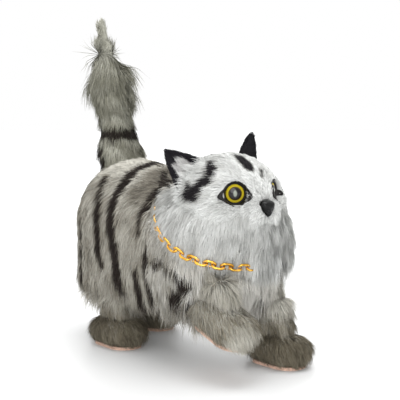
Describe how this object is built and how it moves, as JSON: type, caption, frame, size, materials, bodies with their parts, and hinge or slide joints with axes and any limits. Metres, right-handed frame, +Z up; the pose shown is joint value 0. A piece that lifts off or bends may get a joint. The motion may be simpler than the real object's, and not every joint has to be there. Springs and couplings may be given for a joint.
{
  "type": "clockwork walking cat toy",
  "caption": "Wind-up walking toy cat in a striped grey fur coat with an upright tail, one raised paw, yellow eyes and a gilt chain collar.",
  "frame": {"origin": "on the ground under the middle of the whole outline, key included", "axes": "+X the way the cat walks, +Y its left side where the key is, +Z up"},
  "size_m": [0.122, 0.0706, 0.1396],
  "materials": {
    "coat_fur": "long mottled grey fur with black-brown stripes, real fur over a thin hide",
    "chest_fur": "long off-white fur with taupe tips",
    "head_fur": "short pale grey-white fur with dark marks",
    "tail_fur": "long spiky grey fur with dark bands",
    "paw_fur": "short taupe fur",
    "ear_fur": "short black fur outside, paler inside",
    "sole_felt": "orange-pink skin, matt",
    "eye_glass": "yellow toy eye with a dark slit pupil under a clear dome",
    "nose_plastic": "glossy black moulding",
    "chain_gold": "bright gilt links",
    "shell_plastic": "plain moulded plastic with a fine grain",
    "brass": "stamped brass with fine brushing",
    "steel": "turned and stamped steel",
    "spring_steel": "blued spring steel"
  },
  "bodies": {
    "root": {"frame_plate_left": "brass", "frame_plate_right": "brass", "frame_pillars": "steel", "mainspring": "spring_steel", "body_shell_left": "shell_plastic", "body_shell_right": "shell_plastic", "shell_screws": "steel", "hip_bushes": "brass", "key_bush": "brass", "body_pelt": "coat_fur", "chest_pelt": "chest_fur", "tail_wire": "steel", "tail_pelt": "tail_fur", "collar_chain": "chain_gold"},
    "great": {"great_wheel": "brass", "click_rivet": "steel", "click_spring": "spring_steel"},
    "click": {"click": "steel"},
    "winding": {"winding_arbor": "steel", "ratchet_wheel": "steel", "winding_key": "steel"},
    "second": {"second_arbor": "steel", "second_wheel": "brass"},
    "crank": {"crank_arbor": "steel", "crank_wheel": "brass", "crank_disc_left": "steel", "crank_disc_right": "steel"},
    "governor": {"governor_arbor": "steel", "governor_fly": "steel"},
    "leg_front_left": {"leg_front_left_strut": "shell_plastic", "leg_front_left_pelt": "paw_fur", "leg_front_left_sole": "sole_felt", "leg_front_left_axle": "steel", "leg_front_left_lever": "steel"},
    "leg_front_right": {"leg_front_right_strut": "shell_plastic", "leg_front_right_pelt": "paw_fur", "leg_front_right_sole": "sole_felt", "leg_front_right_axle": "steel", "leg_front_right_lever": "steel"},
    "leg_rear_left": {"leg_rear_left_strut": "shell_plastic", "leg_rear_left_pelt": "paw_fur", "leg_rear_left_sole": "sole_felt", "leg_rear_left_axle": "steel", "leg_rear_left_lever": "steel"},
    "leg_rear_right": {"leg_rear_right_strut": "shell_plastic", "leg_rear_right_pelt": "paw_fur", "leg_rear_right_sole": "sole_felt", "leg_rear_right_axle": "steel", "leg_rear_right_lever": "steel"},
    "head": {"head_shell": "shell_plastic", "head_pelt": "head_fur", "ear_left": "ear_fur", "ear_right": "ear_fur", "eye_left": "eye_glass", "eye_right": "eye_glass", "nose": "nose_plastic"}
  },
  "joints": [
    {"name": "run", "type": "hinge", "parent": "root", "child": "great", "pos_m": [-0.01453, -0.00671, 0.05369], "axis": [0, 1, 0], "continuous": true},
    {"name": "wind", "type": "hinge", "parent": "great", "child": "winding", "pos_m": [-0.01453, -0.00671, 0.05369], "axis": [0, 1, 0], "continuous": true},
    {"name": "click_lift", "type": "hinge", "parent": "great", "child": "click", "pos_m": [-0.01059, -0.00671, 0.06111], "axis": [0, 1, 0], "range_deg": [0, 8], "stiffness_Nm_per_rad": 0.0005, "deforming": ["click_spring"]},
    {"name": "second_spin", "type": "hinge", "parent": "root", "child": "second", "pos_m": [-0.00715, -0.00671, 0.04063], "axis": [0, 1, 0], "continuous": true},
    {"name": "crank_spin", "type": "hinge", "parent": "root", "child": "crank", "pos_m": [0.00358, -0.00671, 0.046], "axis": [0, 1, 0], "continuous": true},
    {"name": "governor_spin", "type": "hinge", "parent": "root", "child": "governor", "pos_m": [0.01219, -0.00671, 0.05001], "axis": [0, 1, 0], "continuous": true},
    {"name": "leg_front_left_swing", "type": "hinge", "parent": "root", "child": "leg_front_left", "pos_m": [0.03358, -0.00671, 0.046], "axis": [0, 1, 0], "range_deg": [0, 15]},
    {"name": "leg_front_right_swing", "type": "hinge", "parent": "root", "child": "leg_front_right", "pos_m": [0.03358, -0.00671, 0.046], "axis": [0, 1, 0], "range_deg": [-15, 0]},
    {"name": "leg_rear_left_swing", "type": "hinge", "parent": "root", "child": "leg_rear_left", "pos_m": [-0.02642, -0.00671, 0.046], "axis": [0, 1, 0], "range_deg": [-15, 0]},
    {"name": "leg_rear_right_swing", "type": "hinge", "parent": "root", "child": "leg_rear_right", "pos_m": [-0.02642, -0.00671, 0.046], "axis": [0, 1, 0], "range_deg": [0, 15]},
    {"name": "head_turn", "type": "hinge", "parent": "root", "child": "head", "pos_m": [0.03258, -0.00671, 0.056], "axis": [0, 0, 1], "range_deg": [-15, 15]}
  ],
  "couplings": [
    {"joint": "second_spin", "follows": "run", "ratio": -4},
    {"joint": "crank_spin", "follows": "run", "ratio": 16},
    {"joint": "governor_spin", "follows": "run", "ratio": -60},
    {"joint": "leg_front_right_swing", "follows": "leg_front_left_swing", "ratio": -1},
    {"joint": "leg_rear_left_swing", "follows": "leg_front_left_swing", "ratio": -1},
    {"joint": "leg_rear_right_swing", "follows": "leg_front_left_swing", "ratio": 1}
  ]
}
